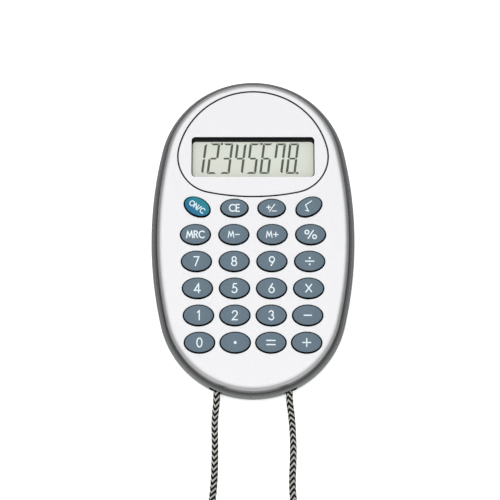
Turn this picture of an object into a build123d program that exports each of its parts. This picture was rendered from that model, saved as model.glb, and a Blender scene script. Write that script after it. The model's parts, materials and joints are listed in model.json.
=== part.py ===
"""Oval pocket calculator on a neck cord, lying on its back with its cord put away in a coil.

Millimetres. The origin is the middle of the flat back, +Z comes out of the keys and +Y runs
from the keys to the display. The cord leaves the lower end, the one at -Y.
"""

import math
import os

from build123d import *

# ---------------------------------------------------------------- driving dimensions
# Case
CASE_WIDTH = 65.0
CASE_LENGTH = 103.6
SIDE_BOW = 2.5  # the tip arcs' radius is this much under half the width, so the sides bow
PARTING_Z = 6.0  # where the front cover stands on the rear cover
FACE_Z = 10.6  # the silver face
SEAM_STEP = 1.5  # the rear cover stands out this far past the front cover
FRONT_WALL = 1.4
REAR_WALL = 1.4
FACE_DRAFT = 10.0  # lean of the front cover's side wall, in degrees
FACE_EDGE_R = 1.6
RIM_TOP_R = 1.45
RIM_FOOT_R = 4.0
RIM_FLAT = 0.2  # least upright wall left between the rim's two roundings
CAVITY_EDGE_R = 1.8
LIP_WIDTH = 0.8
LIP_RISE = 1.0
FIT = 0.15  # gap between two mouldings that locate each other

# Board
BOARD_THICKNESS = 1.2
BOARD_TOP_Z = 6.6
BOARD_GAP = 0.35  # board edge to the rear cover's lip
BOARD_END = 12.2  # lower end of the board, in from the case's lower tip

# Display
INSERT_TIP_GAP = 4.95  # top of the display insert, in from the case's upper tip
INSERT_SIDE_GAP = 8.65  # widest part of the insert, in from the case's side
INSERT_CROWN = 0.35  # how much the insert's top arc is flatter than a half circle
INSERT_CORNER_R = 11.8
INSERT_FOOT_R = 71.0
INSERT_THICKNESS = 1.35
INSERT_PROUD = 0.08
INSERT_GROOVE = 0.42
INSERT_EDGE_R = 0.2
LEDGE_MARGIN = 0.6  # the ledge reaches this far past the groove
WINDOW_WIDTH = 39.3
WINDOW_HEIGHT = 13.1
WINDOW_CORNER_R = 1.2
WINDOW_DROP = 21.45  # middle of the window, below the top of the insert
LENS_MARGIN = 0.75
LENS_THICKNESS = 0.8
GLASS_MARGIN = 1.9  # the liquid crystal panel reaches this far past the window
GLASS_THICKNESS = 0.65
FILM_THICKNESS = 0.2
PANEL_GAP = 0.08  # between the board and the panel's reflector
CONTACT_SHELF = 2.4  # the front glass overhangs the rear glass by this
FILM_INSET = 0.4  # the films stop this far inside the glass
STRIP_WIDTH = 1.8
STRIP_INSET = 0.5
FRAME_WALL = 1.2

# Keys
KEYPAD_FOOT = 17.1  # middle of the lowest row, in from the case's lower tip
KEYPAD_HEAD = 12.6  # middle of the second row, below the insert
TOP_ROW_DROP = 4.0  # middle of the top row, below the insert
KEYPAD_SIDE = 14.25  # middle of the outer column in the second row, in from the case's side
COLUMN_TAPER = 0.365  # each further row draws its outer keys in by this
TOP_ROW_PINCH = 0.5
TOP_ROW_LIFT = 0.4  # the two tilted keys sit this much higher than the two between them
TOP_KEY_TRIM = 0.75  # the top row's keys are this much smaller each way
TOP_KEY_TILT = 27.0
COLUMN_WEB = 1.19  # face left between the lowest row's holes
ROW_WEB = 1.57
KEY_GAP = 0.18
KEY_RISE = 1.1  # top of the crown, above the face
KEY_CROWN_DROP = 0.57  # a full-width key's crown falls this far to its ends
KEY_EDGE_R = 0.45
KEY_EDGE_SHARE = 0.6  # most of the oval's tightest curve that its edge rounding may take
KEY_FLANGE_OVER = 0.55
KEY_FLANGE_THICKNESS = 0.65
KEY_TRAVEL = 0.8
CLOSE = 0.05  # gap between a key at rest and what it bears on

# Rubber mat under the keys
MAT_THICKNESS = 0.8
MAT_MARGIN = 0.4  # the mat stops this far inside the board
DOME_INSET = 0.3  # dome edge, in from the hole of a full-size key
DOME_WALL = 0.45
PILL_R = 1.5
PILL_THICKNESS = 0.4

# Fasteners
CASE_SCREW_R = 1.0
CASE_SCREW_HEAD_R = 1.85
CASE_SCREW_HEAD = 1.1
CASE_POST_WALL = 1.2
HEAD_SINK = 0.5  # screw heads lie this far below the back
HEAD_GAP = 0.2
HEAD_WALL = 0.6
SHANK_GAP = 0.15
BOARD_REST_GAP = 0.1
CASE_SCREW_TIP_GAP = 0.9  # below the display ledge
PILOT_OVER = 0.3  # a case screw's pilot hole goes this far past its tip
THREAD_GAP = 0.02
POST_GAP = 0.25  # play round a post that passes through the board or the mat
SIDE_SCREW_Y = -4.0
TOP_SCREW_ANGLE = 35.0  # round the tip arc, from the case's long axis
LOWER_SCREW_TIP_GAP = 8.25
BOARD_SCREW_R = 0.7
BOARD_SCREW_HEAD_R = 1.35
BOARD_SCREW_HEAD = 0.7
BOARD_POST_R = 1.5
BOARD_PILOT_ROOF = 1.2  # face wall left over a board screw's pilot hole
BOARD_SCREW_TIP_GAP = 1.4
DISPLAY_SCREW_OUT = 4.06  # further out than the case's top screws, whose posts they clear
DISPLAY_SCREW_GAP = 0.5  # between the display tray and the post
DRIVE_SLOT = 0.35

# Parts under the board
CHIP_DROP_R = 5.0
CHIP_DROP_HEIGHT = 1.3
CAPACITOR = (1.3, 2.0, 0.9)
CAPACITOR_PLACES = [(11, 20), (14, 20), (-13, 23)]
RESISTOR = (0.8, 1.6, 0.45)
RESISTOR_PLACES = [(-9, 17), (-11, 17), (9, 12)]

# Battery and its door
CELL_R = 5.8
CELL_THICKNESS = 3.05
CELL_GAP = 0.25
CELL_Y = -17.0
CELL_WALL = 1.1
CELL_CAP_STEP = 0.35
CELL_CAP_INSET = 1.2
CELL_EDGE_R = 0.25
DOOR_WIDTH = 16.0
DOOR_LENGTH = 20.0
DOOR_THICKNESS = 1.3
DOOR_GAP = 0.2
DOOR_SINK = 0.1
DOOR_CORNER_R = 1.2
DOOR_FRAME_WALL = 1.2
HINGE_PIN_R = 0.4
HINGE_PIN_LENGTH = 1.0
HINGE_PLAY = 0.05
HINGE_RECESS = 4.0  # length of the recess's square end, over the rolled edge
LATCH_WIDTH = 6.0
LATCH_LENGTH = 5.0
LATCH_SLIT = 0.6
LATCH_BUMP = 0.12
LATCH_BUMP_WIDTH = 4.0
NAIL_NOTCH_R = 3.0
CONTACT_THICKNESS = 0.25
CONTACT_WIDTH = 3.6
CONTACT_FOOT = 1.4
CONTACT_SLOT_DEPTH = 1.9  # cut into the well's wall for the standing contact
LEAF_END_INSET = 0.6  # the leaf's fixed end, in from the cell's edge
LEAF_TIP_INSET = 2.0
LEAF_FLAT = 1.0  # half the length of the leaf's flat that bears on the cell

# Neck cord, its holes and its knots
CORD_D = 2.3
CORD_EXIT_X = 11.4
CORD_EXIT_Z = 3.5
CORD_HOLE_GAP = 0.2
CORD_POCKET_X = 11.85
CORD_POCKET_WIDTH = 3.9
CORD_POCKET_DROP = 0.2  # pocket floor, below the cord's middle
CORD_POCKET_ROOF = 0.5  # wall left between the pocket and the seam
CORD_POCKET_DEPTH = 4.35  # from the case's lower tip to the pocket's back wall
CORD_POCKET_CORNER_R = 0.9
KNOT_R = 2.0
KNOT_Y = 10.2  # middle of the knots, in from the case's lower tip

# Put-away coil: two flat layers of turns, tied once
COIL_Y = -107.0
COIL_MEAN_R = 11.75
COIL_TURNS_PER_LAYER = 4.75
COIL_LAYERS = 2
TURN_PITCH = 2.35
COIL_EDGE_R = 1.0
TIE_THICKNESS = 0.4
TIE_WIDTH = 3.0

# ---------------------------------------------------------------- sizes that follow
HALF_WIDTH = CASE_WIDTH / 2
HALF_LENGTH = CASE_LENGTH / 2
CEILING_Z = FACE_Z - FRONT_WALL
BOARD_FLOOR_Z = BOARD_TOP_Z - BOARD_THICKNESS
CAVITY_INSET = SEAM_STEP + FRONT_WALL
LIP_INSET = CAVITY_INSET + FIT + LIP_RISE * math.tan(math.radians(FACE_DRAFT))
BOARD_INSET = LIP_INSET + LIP_WIDTH + BOARD_GAP
BOARD_END_Y = BOARD_END - HALF_LENGTH
CEILING_INSET = CAVITY_INSET + (CEILING_Z - PARTING_Z) * math.tan(math.radians(FACE_DRAFT))
TIP_R = HALF_WIDTH - SIDE_BOW
TIP_Y = HALF_LENGTH - TIP_R
RIM_FOOT = min(RIM_FOOT_R, PARTING_Z - RIM_TOP_R - RIM_FLAT)  # both roundings share one wall

INSERT_TOP_Y = HALF_LENGTH - INSERT_TIP_GAP
INSERT_HALF_WIDTH = HALF_WIDTH - INSERT_SIDE_GAP
LEDGE_Z = FACE_Z + INSERT_PROUD - INSERT_THICKNESS
WINDOW_Y = INSERT_TOP_Y - WINDOW_DROP
LENS_FLOOR_Z = LEDGE_Z - LENS_THICKNESS
REFLECTOR_Z = BOARD_TOP_Z + PANEL_GAP
REAR_GLASS_Z = REFLECTOR_Z + FILM_THICKNESS
FRONT_GLASS_Z = REAR_GLASS_Z + GLASS_THICKNESS
FILM_TOP_Z = FRONT_GLASS_Z + GLASS_THICKNESS + FILM_THICKNESS
LEDGE_FLOOR_Z = FILM_TOP_Z + CLOSE  # the ledge reaches down to the panel
GLASS_WIDTH = WINDOW_WIDTH + 2 * GLASS_MARGIN
REAR_GLASS_LENGTH = WINDOW_HEIGHT + 2 * GLASS_MARGIN
FRONT_GLASS_LENGTH = REAR_GLASS_LENGTH + CONTACT_SHELF
GLASS_TOP_Y = WINDOW_Y + REAR_GLASS_LENGTH / 2
GLASS_FOOT_Y = GLASS_TOP_Y - FRONT_GLASS_LENGTH

KEY_TOP_Z = FACE_Z + KEY_RISE
KEY_FLANGE_TOP_Z = CEILING_Z - CLOSE
KEY_FLOOR_Z = KEY_FLANGE_TOP_Z - KEY_FLANGE_THICKNESS
MAT_TOP_Z = BOARD_TOP_Z + MAT_THICKNESS
DOME_TOP_Z = KEY_FLOOR_Z - CLOSE
PILL_Z = BOARD_TOP_Z + KEY_TRAVEL

CELL_Z = DOOR_SINK + DOOR_THICKNESS + FIT
DOOR_TOP_Z = DOOR_SINK + DOOR_THICKNESS
DOOR_RECESS_Z = DOOR_TOP_Z + DOOR_SINK
HINGE_Y = CELL_Y + DOOR_LENGTH / 2 - DOOR_THICKNESS / 2
HINGE_Z = DOOR_SINK + DOOR_THICKNESS / 2

CASE_PILOT_R = CASE_SCREW_R + THREAD_GAP
CASE_POST_R = CASE_SCREW_R + CASE_POST_WALL
HEAD_HOLE_R = CASE_SCREW_HEAD_R + HEAD_GAP
REAR_POST_R = HEAD_HOLE_R + HEAD_WALL
REAR_POST_TOP_Z = BOARD_FLOOR_Z - BOARD_REST_GAP
HEAD_SEAT_Z = HEAD_SINK + CASE_SCREW_HEAD
CASE_SCREW_TIP_Z = LEDGE_FLOOR_Z - CASE_SCREW_TIP_GAP
SCREW_INSET = LIP_INSET + LIP_WIDTH + CASE_POST_R + POST_GAP  # the posts stand clear of the lip
TOP_SCREW_X = (TIP_R - SCREW_INSET) * math.sin(math.radians(TOP_SCREW_ANGLE))
TOP_SCREW_Y = (TIP_R - SCREW_INSET) * math.cos(math.radians(TOP_SCREW_ANGLE)) + TIP_Y
CASE_SCREWS = [
    (TOP_SCREW_X, TOP_SCREW_Y),
    (-TOP_SCREW_X, TOP_SCREW_Y),
    (HALF_WIDTH - SCREW_INSET, SIDE_SCREW_Y),
    (SCREW_INSET - HALF_WIDTH, SIDE_SCREW_Y),
    (0.0, LOWER_SCREW_TIP_GAP - HALF_LENGTH),
]

CORD_R = CORD_D / 2
KNOT_MIDDLE_Y = KNOT_Y - HALF_LENGTH
POCKET_Y = CORD_POCKET_DEPTH - HALF_LENGTH
COIL_HALF_BUNDLE = COIL_TURNS_PER_LAYER / 2 * TURN_PITCH + CORD_R
COIL_INNER_R = COIL_MEAN_R - COIL_HALF_BUNDLE - FIT
COIL_OUTER_R = COIL_MEAN_R + COIL_HALF_BUNDLE + FIT
COIL_HEIGHT = (COIL_LAYERS - 1) * TURN_PITCH + CORD_D + FIT
OUTER_TURN_R = COIL_MEAN_R + COIL_TURNS_PER_LAYER / 2 * TURN_PITCH
LOWER_TURN_Z = TIE_THICKNESS + CORD_R
UPPER_TURN_Z = LOWER_TURN_Z + TURN_PITCH

# The cord's two visible ends, from the case to the side of the coil. Chosen by hand: out of the
# hole, down to the table, along it nearly straight, then round to the coil's side.
LEFT_ROUTE = [
    (-CORD_EXIT_X, POCKET_Y, CORD_EXIT_Z),
    (-CORD_EXIT_X, POCKET_Y - 4.6, CORD_EXIT_Z),
    (-12.2, POCKET_Y - 10.4, CORD_R + 0.15),
    (-11.9, POCKET_Y - 21.0, CORD_R + 0.02),
    (-12.4, POCKET_Y - 34.5, CORD_R + 0.04),
    (-14.4, POCKET_Y - 43.0, CORD_R + 0.1),
    (-16.9, POCKET_Y - 51.0, LOWER_TURN_Z),
    (-OUTER_TURN_R, COIL_Y, LOWER_TURN_Z),
]
RIGHT_ROUTE = [
    (CORD_EXIT_X, POCKET_Y, CORD_EXIT_Z),
    (CORD_EXIT_X, POCKET_Y - 4.6, CORD_EXIT_Z),
    (12.3, POCKET_Y - 10.0, CORD_R + 0.15),
    (12.8, POCKET_Y - 20.0, CORD_R + 0.02),
    (12.1, POCKET_Y - 33.0, CORD_R + 0.04),
    (13.8, POCKET_Y - 42.0, CORD_R + 0.3),
    (16.8, POCKET_Y - 50.0, UPPER_TURN_Z - 0.9),
    (OUTER_TURN_R, COIL_Y, UPPER_TURN_Z),
]

KEY_ROWS = [
    ["on_clear", "clear_entry", "sign", "root"],
    ["memory_recall", "memory_minus", "memory_plus", "percent"],
    ["7", "8", "9", "divide"],
    ["4", "5", "6", "multiply"],
    ["1", "2", "3", "minus"],
    ["0", "point", "equals", "plus"],
]


# ---------------------------------------------------------------- shapes used more than once
def closed(*edges):
    """The flat face inside a loop of edges."""
    return make_face(Wire(edges))


def case_outline(inset=0.0):
    """The case's oval, drawn in by inset: two tip arcs joined by two flatter side arcs."""
    half_width, half_length = HALF_WIDTH - inset, HALF_LENGTH - inset
    tip_r = HALF_WIDTH - SIDE_BOW - inset
    tip_y = half_length - tip_r
    side_r = (half_width**2 + tip_y**2 - tip_r**2) / (2 * (half_width - tip_r))
    share = tip_r / (side_r - tip_r)
    x, y = share * (side_r - half_width), tip_y * (1 + share)
    return closed(
        ThreePointArc((x, y), (0, half_length), (-x, y)),
        ThreePointArc((-x, y), (-half_width, 0), (-x, -y)),
        ThreePointArc((-x, -y), (0, -half_length), (x, -y)),
        ThreePointArc((x, -y), (half_width, 0), (x, y)),
    )


def insert_outline(grow=0.0):
    """The display insert's rounded shape, grown by grow: a top arc, two corners and a flat foot arc."""
    top_r = INSERT_HALF_WIDTH + INSERT_CROWN + grow
    corner_r, foot_r = INSERT_CORNER_R + grow, INSERT_FOOT_R + grow
    top_y = INSERT_TOP_Y - INSERT_HALF_WIDTH - INSERT_CROWN
    corner_x = INSERT_HALF_WIDTH - INSERT_CORNER_R
    corner_y = top_y + math.sqrt((top_r - corner_r) ** 2 - corner_x**2)
    foot_y = corner_y + math.sqrt((foot_r - corner_r) ** 2 - corner_x**2)
    top = Vector(corner_x, corner_y - top_y).normalized() * top_r + Vector(0, top_y)
    foot = Vector(corner_x, corner_y - foot_y).normalized() * foot_r + Vector(0, foot_y)
    side_x = corner_x + corner_r
    return closed(
        ThreePointArc((top.X, top.Y), (0, top_y + top_r), (-top.X, top.Y)),
        ThreePointArc((-top.X, top.Y), (-side_x, corner_y), (-foot.X, foot.Y)),
        ThreePointArc((-foot.X, foot.Y), (0, foot_y - foot_r), (foot.X, foot.Y)),
        ThreePointArc((foot.X, foot.Y), (side_x, corner_y), (top.X, top.Y)),
    )


def insert_foot_y():
    """The lowest point of the display insert."""
    return insert_outline().bounding_box().min.Y


def slab(face, low, high, lean=0.0):
    """The solid over a flat face between two heights, drawn in upwards by lean degrees."""
    return extrude(Pos(0, 0, low) * face, amount=high - low, dir=(0, 0, 1), taper=lean)


def drum(radius, low, high, x=0.0, y=0.0):
    """An upright cylinder between two heights."""
    return Pos(x, y, (low + high) / 2) * Cylinder(radius, high - low)


def block(width, length, low, high, x=0.0, y=0.0):
    """An upright box between two heights."""
    return Pos(x, y, (low + high) / 2) * Box(width, length, high - low)


def level_edges(solid, z):
    """The edges that lie wholly at height z."""
    return [
        e
        for e in solid.edges()
        if abs(e.bounding_box().min.Z - z) < 1e-4 and abs(e.bounding_box().max.Z - z) < 1e-4
    ]


def key_places():
    """Each key's name, the middle of its hole, the hole's width and height, and its tilt."""
    second_y = insert_foot_y() - KEYPAD_HEAD
    pitch = (second_y - KEYPAD_FOOT + HALF_LENGTH) / (len(KEY_ROWS) - 2)
    outer_x = HALF_WIDTH - KEYPAD_SIDE
    lowest_x = outer_x - COLUMN_TAPER * (len(KEY_ROWS) - 2)
    width, height = lowest_x * 2 / 3 - COLUMN_WEB, pitch - ROW_WEB
    places = []
    for row, names in enumerate(KEY_ROWS):
        first = row == 0
        spread = outer_x - (TOP_ROW_PINCH if first else COLUMN_TAPER * (row - 1))
        trim = TOP_KEY_TRIM if first else 0.0
        for column, name in enumerate(names):
            side = 2 * column / 3 - 1  # -1 and 1 in the outer columns, a third of that between
            tilted = first and abs(side) == 1
            y = insert_foot_y() - TOP_ROW_DROP if first else second_y - pitch * (row - 1)
            y += TOP_ROW_LIFT if tilted else 0.0
            tilt = side * TOP_KEY_TILT if tilted else 0.0
            places.append((name, spread * side, y, width - trim, height - trim, tilt))
    return places


def board_screw_places():
    """Screws between the keys, and beside the display, that hold the board to the front cover."""
    at = {name: (x, y) for name, x, y, _, _, _ in key_places()}
    corners = [("memory_plus", "divide"), ("3", "plus")]
    right = [((at[a][0] + at[b][0]) / 2, (at[a][1] + at[b][1]) / 2) for a, b in corners]
    beside_y = GLASS_TOP_Y + FRAME_WALL + BOARD_POST_R + DISPLAY_SCREW_GAP
    right.append((TOP_SCREW_X + DISPLAY_SCREW_OUT, beside_y))
    return [(side * x, y) for x, y in right for side in (1, -1)]


def dome_radius():
    """Every dome's outer radius, from the hole of a full-size key."""
    return max(height for _, _, _, _, height, _ in key_places()) / 2 - DOME_INSET


def key_crown_radius():
    """The crown's radius, the same on every key."""
    reach = max(width for _, _, _, width, _, _ in key_places()) / 2 - KEY_GAP
    return (reach**2 + KEY_CROWN_DROP**2) / (2 * KEY_CROWN_DROP)


def ellipse_column(place, grow, low, high):
    """A key-shaped column: the key's hole, grown by grow, between two heights."""
    _, x, y, width, height, tilt = place
    shape = Ellipse(width / 2 + grow, height / 2 + grow, rotation=tilt)
    return slab(Pos(x, y) * shape, low, high)


# ---------------------------------------------------------------- covers
def front_cover():
    """The silver shell with the display pocket, the key holes and the screw posts inside."""
    outer = slab(case_outline(SEAM_STEP), PARTING_Z, FACE_Z, FACE_DRAFT)
    outer = fillet(level_edges(outer, FACE_Z), FACE_EDGE_R)
    cavity = slab(case_outline(CAVITY_INSET), PARTING_Z, CEILING_Z, FACE_DRAFT)
    cover = outer - cavity
    ledge = insert_outline(INSERT_GROOVE + LEDGE_MARGIN)
    cover += slab(ledge, LEDGE_FLOOR_Z, CEILING_Z) & outer
    cover -= slab(insert_outline(INSERT_GROOVE), LEDGE_Z, FACE_Z + 1)
    lens_hole = RectangleRounded(
        WINDOW_WIDTH + 2 * (LENS_MARGIN + FIT),
        WINDOW_HEIGHT + 2 * (LENS_MARGIN + FIT),
        WINDOW_CORNER_R + FIT,
    )
    cover -= slab(Pos(0, WINDOW_Y) * lens_hole, LEDGE_FLOOR_Z - 1, LEDGE_Z + 1)
    for place in key_places():
        cover -= ellipse_column(place, 0, CEILING_Z - 1, FACE_Z + 1)
    for x, y in CASE_SCREWS:
        cover += drum(CASE_POST_R, REAR_POST_TOP_Z + CLOSE, CEILING_Z, x, y)
        cover -= drum(CASE_PILOT_R, REAR_POST_TOP_Z, CASE_SCREW_TIP_Z + PILOT_OVER, x, y)
    for x, y in board_screw_places():
        cover += drum(BOARD_POST_R, BOARD_TOP_Z, CEILING_Z, x, y)
        cover -= drum(BOARD_SCREW_R + THREAD_GAP, BOARD_TOP_Z, CEILING_Z - BOARD_PILOT_ROOF, x, y)
    return cover


def rear_cover():
    """The dark shell with its rounded rim, lip, posts, battery well and cord holes."""
    shell = slab(case_outline(), 0, PARTING_Z)
    shell = fillet(level_edges(shell, 0), RIM_FOOT)
    shell = fillet(level_edges(shell, PARTING_Z), RIM_TOP_R)
    cavity = slab(case_outline(CAVITY_INSET), REAR_WALL, PARTING_Z)
    cavity = fillet(level_edges(cavity, REAR_WALL), CAVITY_EDGE_R)
    shell -= cavity
    lip_inner = case_outline(LIP_INSET + LIP_WIDTH)
    lip_low = PARTING_Z - 2 * LIP_RISE
    shell += slab(case_outline(CAVITY_INSET), lip_low, PARTING_Z) - slab(
        lip_inner, lip_low, PARTING_Z
    )
    shell += slab(case_outline(LIP_INSET), PARTING_Z - LIP_RISE, PARTING_Z + LIP_RISE) - slab(
        lip_inner, PARTING_Z - LIP_RISE, PARTING_Z + LIP_RISE
    )
    for x, y in CASE_SCREWS:
        shell += drum(REAR_POST_R, REAR_WALL, REAR_POST_TOP_Z, x, y)
        shell -= drum(HEAD_HOLE_R, -1, HEAD_SEAT_Z, x, y)
        shell -= drum(CASE_SCREW_R + SHANK_GAP, 0, REAR_POST_TOP_Z + 1, x, y)
    shell = battery_well(shell)
    for side in (-1, 1):
        shell -= cord_hole(side)
    return shell


def battery_well(shell):
    """Adds the cell's ring wall and the door's frame, and cuts the cell's hole and the door's recess."""
    frame_width = DOOR_WIDTH + 2 * (HINGE_PIN_LENGTH + DOOR_FRAME_WALL)
    frame_length = DOOR_LENGTH + 2 * DOOR_FRAME_WALL
    shell += block(frame_width, frame_length, REAR_WALL, DOOR_RECESS_Z + CELL_WALL, y=CELL_Y)
    well_r = CELL_R + CELL_GAP
    shell += drum(well_r + CELL_WALL, REAR_WALL, REAR_POST_TOP_Z, y=CELL_Y)
    shell -= drum(well_r, -1, BOARD_TOP_Z, y=CELL_Y)
    recess = RectangleRounded(
        DOOR_WIDTH + 2 * DOOR_GAP, DOOR_LENGTH + 2 * DOOR_GAP, DOOR_CORNER_R + DOOR_GAP
    )
    shell -= slab(Pos(0, CELL_Y) * recess, -1, DOOR_RECESS_Z)
    hinge_end = HINGE_Y + DOOR_THICKNESS / 2 + DOOR_GAP
    shell -= block(
        DOOR_WIDTH + 2 * DOOR_GAP, HINGE_RECESS, -1, DOOR_RECESS_Z, y=hinge_end - HINGE_RECESS / 2
    )
    shell -= Pos(0, HINGE_Y, HINGE_Z) * Rot(0, 90, 0) * Cylinder(
        HINGE_PIN_R + HINGE_PLAY, DOOR_WIDTH + 2 * (HINGE_PIN_LENGTH + DOOR_GAP)
    )
    notch_y = CELL_Y - DOOR_LENGTH / 2 - DOOR_GAP
    shell -= drum(NAIL_NOTCH_R, -1, REAR_WALL / 2, y=notch_y)
    contact_slot = CONTACT_WIDTH + 2 * CELL_GAP
    slot_floor = DOOR_RECESS_Z + CELL_WALL
    slot_x = CELL_R + CONTACT_SLOT_DEPTH / 2
    shell -= block(CONTACT_SLOT_DEPTH, contact_slot, slot_floor, BOARD_TOP_Z, slot_x, CELL_Y)
    return shell


def cord_hole(side):
    """The hole that a cord end leaves by, with the pocket round its mouth, in the rim's side wall."""
    reach = KNOT_Y + 1.0  # from the knot to outside the case
    x = side * CORD_EXIT_X
    y = KNOT_MIDDLE_Y - reach / 2
    hole = Pos(x, y, CORD_EXIT_Z) * Rot(90, 0, 0) * Cylinder(CORD_R + CORD_HOLE_GAP, reach)
    low = CORD_EXIT_Z - CORD_POCKET_DROP
    high = PARTING_Z - CORD_POCKET_ROOF
    mouth = RectangleRounded(high - low, CORD_POCKET_WIDTH, CORD_POCKET_CORNER_R)
    mouth_plane = Plane(
        origin=(side * CORD_POCKET_X, POCKET_Y, (low + high) / 2), x_dir=(0, 0, 1), z_dir=(0, -1, 0)
    )
    return hole + extrude(mouth_plane * mouth, amount=reach)


# ---------------------------------------------------------------- display
def display_insert():
    """The silver plate round the window, in the front cover's pocket."""
    plate = slab(insert_outline(), LEDGE_Z, FACE_Z + INSERT_PROUD)
    plate = fillet(level_edges(plate, FACE_Z + INSERT_PROUD), INSERT_EDGE_R)
    window = RectangleRounded(WINDOW_WIDTH, WINDOW_HEIGHT, WINDOW_CORNER_R)
    return plate - slab(Pos(0, WINDOW_Y) * window, LEDGE_Z - 1, FACE_Z + 1)


def display_lens():
    """The clear window under the insert."""
    lens = RectangleRounded(
        WINDOW_WIDTH + 2 * LENS_MARGIN, WINDOW_HEIGHT + 2 * LENS_MARGIN, WINDOW_CORNER_R
    )
    return slab(Pos(0, WINDOW_Y) * lens, LENS_FLOOR_Z, LEDGE_Z)


def glass_plate(length, low, high, margin=0.0):
    """One layer of the liquid crystal panel, hung from the panel's top edge."""
    y = GLASS_TOP_Y - length / 2
    return block(GLASS_WIDTH - 2 * margin, length - 2 * margin, low, high, y=y)


def display_layers():
    """The liquid crystal panel's layers, from the viewer's side down."""
    return {
        "lcd_front_film": glass_plate(
            REAR_GLASS_LENGTH, FRONT_GLASS_Z + GLASS_THICKNESS, FILM_TOP_Z, FILM_INSET
        ),
        "lcd_front_glass": glass_plate(
            FRONT_GLASS_LENGTH, FRONT_GLASS_Z, FRONT_GLASS_Z + GLASS_THICKNESS
        ),
        "lcd_rear_glass": glass_plate(REAR_GLASS_LENGTH, REAR_GLASS_Z, FRONT_GLASS_Z),
        "lcd_reflector": glass_plate(REAR_GLASS_LENGTH, REFLECTOR_Z, REAR_GLASS_Z, FILM_INSET),
    }


def display_frame():
    """The tray that holds the panel on the board and the contact strip against it."""
    y = GLASS_TOP_Y - FRONT_GLASS_LENGTH / 2
    width, length = GLASS_WIDTH + 2 * FIT, FRONT_GLASS_LENGTH + 2 * FIT
    frame = block(width + 2 * FRAME_WALL, length + 2 * FRAME_WALL, BOARD_TOP_Z, FILM_TOP_Z, y=y)
    frame -= block(width, length, BOARD_TOP_Z - 1, FILM_TOP_Z + 1, y=y)
    return frame & slab(case_outline(BOARD_INSET), 0, FACE_Z)


def contact_strip():
    """The rubber strip that joins the board's pads to the front glass."""
    y = GLASS_FOOT_Y + FIT + STRIP_WIDTH / 2
    return block(GLASS_WIDTH - 2 * STRIP_INSET, STRIP_WIDTH, BOARD_TOP_Z, FRONT_GLASS_Z, y=y)


def post_clearance(x, y):
    """Room for a case post, open to the nearest side where the post stands by it."""
    clear_r = CASE_POST_R + POST_GAP
    room = drum(clear_r, 0, FACE_Z, x, y)
    if abs(x) > HALF_WIDTH / 2:
        room += block(2 * clear_r, 2 * clear_r, 0, FACE_Z, x + math.copysign(clear_r, x), y)
    return room


# ---------------------------------------------------------------- keys and mat
def key(place):
    """One key cap: a crowned oval button with a flange that keeps it under the face."""
    _, x, y, width, height, tilt = place
    cap = ellipse_column(place, -KEY_GAP, KEY_FLANGE_TOP_Z, KEY_TOP_Z + 1)
    crown_r = key_crown_radius()
    cap &= Pos(x, y, KEY_TOP_Z - crown_r) * Sphere(crown_r)
    rim = [e for e in cap.edges() if e.bounding_box().min.Z > FACE_Z]
    tightest_r = (height / 2 - KEY_GAP) ** 2 / (width / 2 - KEY_GAP)
    cap = fillet(rim, min(KEY_EDGE_R, KEY_EDGE_SHARE * tightest_r))
    flange = ellipse_column(place, KEY_FLANGE_OVER, KEY_FLOOR_Z, KEY_FLANGE_TOP_Z)
    flange -= slab(insert_outline(INSERT_GROOVE + LEDGE_MARGIN + FIT), 0, FACE_Z)
    flange &= slab(case_outline(CEILING_INSET + FIT), 0, FACE_Z)
    for post_x, post_y in board_screw_places():
        flange -= drum(BOARD_POST_R + POST_GAP, 0, FACE_Z, post_x, post_y)
    return cap + flange


def mat_outline():
    """The rubber mat's outline: the board's, kept between the display frame and the board's end."""
    top = GLASS_FOOT_Y - FRAME_WALL - 2 * FIT
    foot = BOARD_END_Y + FIT
    field = Pos(0, (top + foot) / 2) * Rectangle(CASE_WIDTH, top - foot)
    return case_outline(BOARD_INSET + MAT_MARGIN) & field


def keypad_mat():
    """The rubber sheet with a hollow dome under each key."""
    mat = slab(mat_outline(), BOARD_TOP_Z, MAT_TOP_Z)
    dome_r = dome_radius()
    stem_r = dome_r - 2 * DOME_WALL
    for _, x, y, _, _, _ in key_places():
        cone = Cone(dome_r, stem_r, DOME_TOP_Z - MAT_TOP_Z)
        mat += Pos(x, y, (MAT_TOP_Z + DOME_TOP_Z) / 2) * cone
        mat -= drum(dome_r - DOME_WALL, BOARD_TOP_Z, PILL_Z, x, y)
        mat -= drum(min(PILL_R, stem_r), PILL_Z - 0.01, PILL_Z + PILL_THICKNESS, x, y)
    for x, y in board_screw_places():
        mat -= drum(BOARD_POST_R + POST_GAP, 0, FACE_Z, x, y)
    for x, y in CASE_SCREWS:
        mat -= post_clearance(x, y)
    return mat


def carbon_pills():
    """The conductive pill in each dome, which closes its key's contact on the board."""
    pill_r = min(PILL_R, dome_radius() - 2 * DOME_WALL)
    pills = [drum(pill_r, PILL_Z, PILL_Z + PILL_THICKNESS, x, y) for _, x, y, _, _, _ in key_places()]
    return Compound(children=pills)


# ---------------------------------------------------------------- board and its parts
def circuit_board():
    """The board under the mat and the display, cleared for the case's posts."""
    field_top = HALF_LENGTH
    middle = (field_top + BOARD_END_Y) / 2
    field = Pos(0, middle) * Rectangle(CASE_WIDTH, field_top - BOARD_END_Y)
    board = slab(case_outline(BOARD_INSET) & field, BOARD_FLOOR_Z, BOARD_TOP_Z)
    for x, y in CASE_SCREWS:
        board -= post_clearance(x, y)
    for x, y in board_screw_places():
        board -= drum(BOARD_SCREW_R + POST_GAP, 0, FACE_Z, x, y)
    return board


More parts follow.
